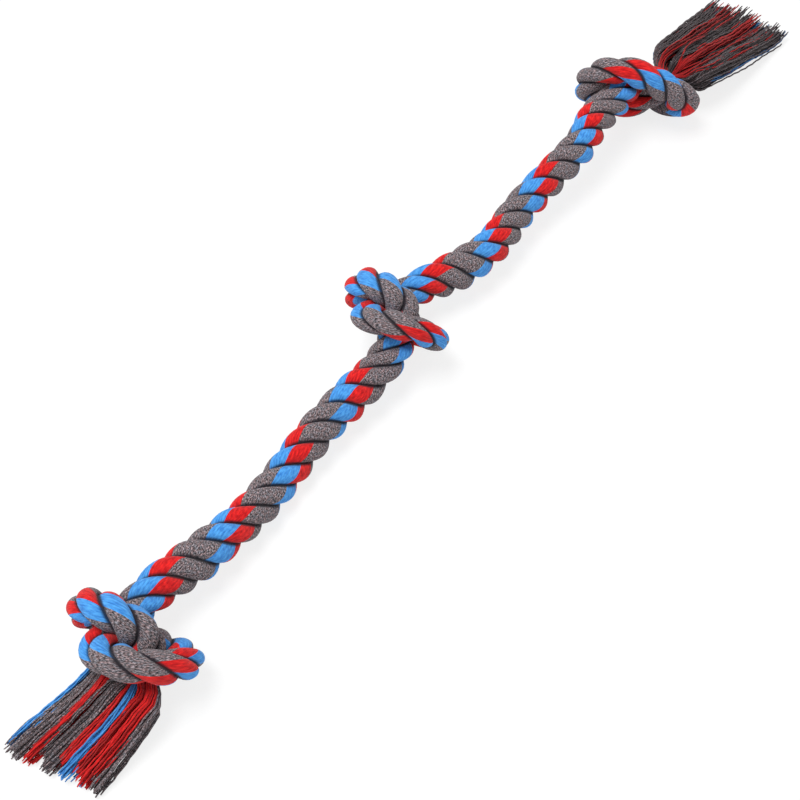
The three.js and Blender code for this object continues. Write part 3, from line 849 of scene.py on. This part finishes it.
def yarn_path(tassel, root, sections, strand, out, share, level):
    """Points of one yarn, by its shares of the strand's width and height at lengths out."""
    _, radius, face_at, _ = root
    way = strand["way"]
    strand_place = 2 * strand["place"] / strand_count
    heart = face_at(strand["turn"], heart_share) - face_at(0, 0)
    outs = sections["outs"]
    middle, across, over = (
        points_at(sections[part], outs, out) for part in ("middle", "across", "over")
    )
    wide = np.interp(out, outs, sections["wide"])
    thick = np.interp(out, outs, sections["thick"])
    spread = ease(0, tassel["spread_by"], out)
    flatten = ease(flatten_from, tassel["flatten_by"], out)
    seen_across = unit(strand["across"] + (across - strand["across"]) * flatten[:, None])
    seen_over = unit(strand["over"] + (over - strand["over"]) * flatten[:, None])
    level_out = np.clip(level if way > 0 else 1 - level, 0, 1)
    reach = radius * (lock_core + (1 - lock_core) * level_out)
    angle = (0.5 - share) * 2 * math.pi / strand_count
    lateral = (1 - 2 * share) / strand_count
    edge = thin_edge * (strand_place + lateral) ** 2
    thinned = thick * np.sqrt(np.maximum(1 - edge, thinnest))
    beside = reach * np.sin(angle) * (1 - flatten) + lateral * wide * flatten
    above = way * (reach * np.cos(angle) - radius * heart_share) * (1 - flatten)
    above = above + (2 * level - 1) * thinned * flatten
    return (middle + heart * (1 - spread)[:, None]
            + across * (wide * strand_place * spread)[:, None]
            + seen_across * beside[:, None] + seen_over * above[:, None])


def yarn_lock(tassel, root, sections, strand, borders, rng):
    """Tubes of loose yarn that fill one lock. They keep together in small clumps."""
    (bottom_from, bottom_to), (top_from, top_to) = borders
    area = tassel["shoulder"][0] / 3 * tassel["shoulder"][1]
    count = round(area * yarns_per_mm2 * (bottom_to - bottom_from + top_to - top_from) / 2)
    points, faces, uvs, total = [], [], [], 0
    for n in range(count):
        if n % clump_size == 0:
            clump = rng.uniform(0, 1, 2)
            swing = rng.uniform(-1, 1, 4)
            clump_end = rng.normal(0, clump_ends)
            clump_shift = tassel["mingle"] * rng.normal(0, 1)
        beside, level = np.clip(clump + rng.normal(0, clump_scatter, 2), *lock_edges)
        level *= 1 + lock_crown * (1 - abs(2 * beside - 1))
        # A lock that has no share of the top stays low, under its neighbours.
        if top_to == top_from:
            level *= hidden_level
        height = min(level, 1)
        low = bottom_from + (top_from - bottom_from) * height
        high = bottom_to + (top_to - bottom_to) * height
        share = low + (high - low) * beside

        # A yarn that mingles with its neighbours turns back at the edge of the tassel.
        goal = share + clump_shift + mingle_own * tassel["mingle"] * rng.normal(0, 1)
        goal = max(goal, 2 * (strand["place"] - 1 + edge_margin) - goal)
        goal = min(goal, 2 * (strand["place"] + 2 - edge_margin) - goal)

        order = (2 * strand["place"] + 1 - 2 * share) / strand_count
        wave = math.sin(2 * math.pi * ragged_waves * order)
        own = sections["full"] + tassel["slant"] * order + tassel["raggedness"] * wave
        own += tassel["fray"] * (clump_end_share * clump_end + rng.uniform(*yarn_ends))
        steps = int(own / yarn_step) + 1
        out = np.linspace(0, own, steps)
        loose = ease(loose_from, loose_by, out)
        drift = tassel["stray"] * rng.normal(0, 1) * loose
        sway = np.sin(out / sway_lengths[0] + 3 * swing[0]) * swing[1]
        sway = sway + np.sin(out / sway_lengths[1] + 3 * swing[2]) * sway_small
        mingled = (goal - share) * ease(0, mingle_by, out)
        side_share = share + mingled + drift + sway_share * sway * loose
        rise = level + rise_share * np.sin(out / rise_length + 3 * swing[3]) * loose

        path = yarn_path(tassel, root, sections, strand, out, side_share, rise)
        way = unit(np.gradient(path, axis=0))
        flat = unit(np.cross([0, 0, 1], way))
        over = np.cross(way, flat)
        crimp = 2 * math.pi * (out / rng.uniform(*crimp_lengths) + rng.random())
        wobble = crimp_size + crimp_loose * loose
        path = path + flat * (np.cos(crimp) * wobble)[:, None]
        path = path + over * (np.sin(crimp) * wobble)[:, None]
        path[:, 2] = np.maximum(path[:, 2], yarn_radius + rest_gap)

        thick = yarn_radius * rng.uniform(*radius_shares)
        size = thick * (1 - taper_share * ease(own - taper_length, own, out))
        ring = np.arange(yarn_sides) / yarn_sides * 2 * math.pi
        tube = (path[:, None] + flat[:, None] * (np.cos(ring)[None] * size[:, None])[:, :, None]
                + over[:, None] * (np.sin(ring)[None] * size[:, None])[:, :, None])
        quads, rings_at, columns_at = tube_quads(steps, yarn_sides)
        round_yarn = n + columns_at / yarn_sides * yarn_uv_width
        points.append(tube.reshape(-1, 3))
        faces.append(quads + total)
        uvs.append(np.stack([round_yarn, out[rings_at] / uv_length], axis=-1).reshape(-1, 8))
        total += steps * yarn_sides
    return np.vstack(points), np.vstack(faces), np.vstack(uvs)


for tassel in tassels:
    cottons = {
        colour: cotton_material(f"{tassel['name']}_{colour}_cotton", [colour], shade)
        for colour, shade in tassel["shades"].items()
    }
    root = tassel_root(tassel)
    length, _, face_at, ahead = root
    sections = tassel_sections(tassel, face_at(0, 0), ahead)
    for strand, locks in zip(strands_in_tassel(length, face_at), tassel["strands"]):
        bottom_from, top_from = 0, 0
        for colour, top_share, bottom_share in locks:
            borders = ((bottom_from, bottom_from + bottom_share),
                       (top_from, top_from + top_share))
            rng = np.random.default_rng(10 * strand["number"] + len(colour) + tassel["seed"])
            points, faces, uvs = yarn_lock(tassel, root, sections, strand, borders, rng)
            name = f"{tassel['name']}_strand_{strand['number'] + 1}_{colour}"
            add_mesh(name, to_metres(points), faces, uvs, np.ones_like(uvs),
                     cottons[colour], f"{colour}_yarn", f"{name}_yarn")
            bottom_from += bottom_share
            top_from += top_share
